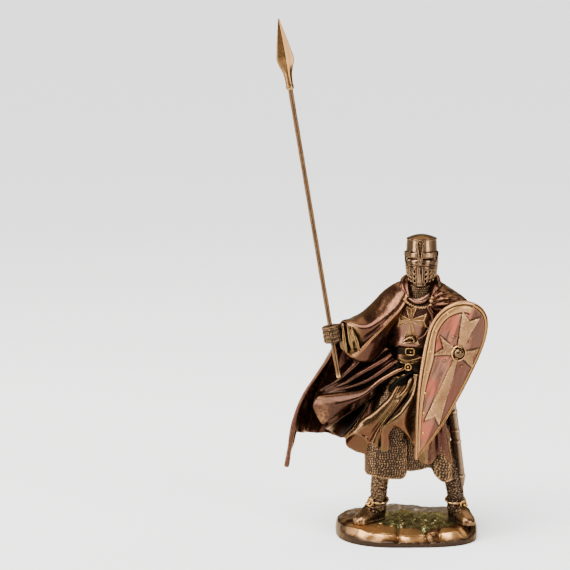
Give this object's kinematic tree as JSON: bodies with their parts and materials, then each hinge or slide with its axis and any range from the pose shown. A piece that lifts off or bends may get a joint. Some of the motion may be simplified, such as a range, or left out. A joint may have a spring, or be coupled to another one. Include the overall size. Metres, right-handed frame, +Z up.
{
  "type": "medieval knight statuette",
  "caption": "Crusader knight statuette on a rocky plinth, in cold-cast bronze: great helm, blown cloak, surcoat over mail, kite shield, sheathed sword and a tall spear.",
  "frame": {"origin": "middle of the plinth's flat underside", "axes": "+Z up; the knight looks along -Y, the spear is at -X and the shield at +X"},
  "size_m": [0.1302, 0.0761, 0.3236],
  "materials": {
    "plinth_bronze": "golden bronze patina, dark in the cracks, with olive moss paint on top",
    "cloak_bronze": "glossy copper-brown patina, rubbed bright on the folds",
    "mail_bronze": "dark olive-brown patina, dry-brushed gold on the rings",
    "helm_bronze": "antique bronze, polished flat areas and dark recesses",
    "strap_bronze": "blackened strap with rubbed edges",
    "fitting_gold": "rubbed gold buckles, clasp and cross",
    "shield_bronze": "rose copper fields with a golden rim and cross",
    "scabbard_bronze": "dark bronze with gold ornament",
    "spear_bronze": "smooth copper-gold metal"
  },
  "bodies": {
    "root": {"plinth": "plinth_bronze", "knight": "cloak_bronze", "shield": "shield_bronze", "sheathed_sword": "scabbard_bronze", "spear_shaft": "spear_bronze", "spear_head": "spear_bronze"}
  },
  "joints": []
}
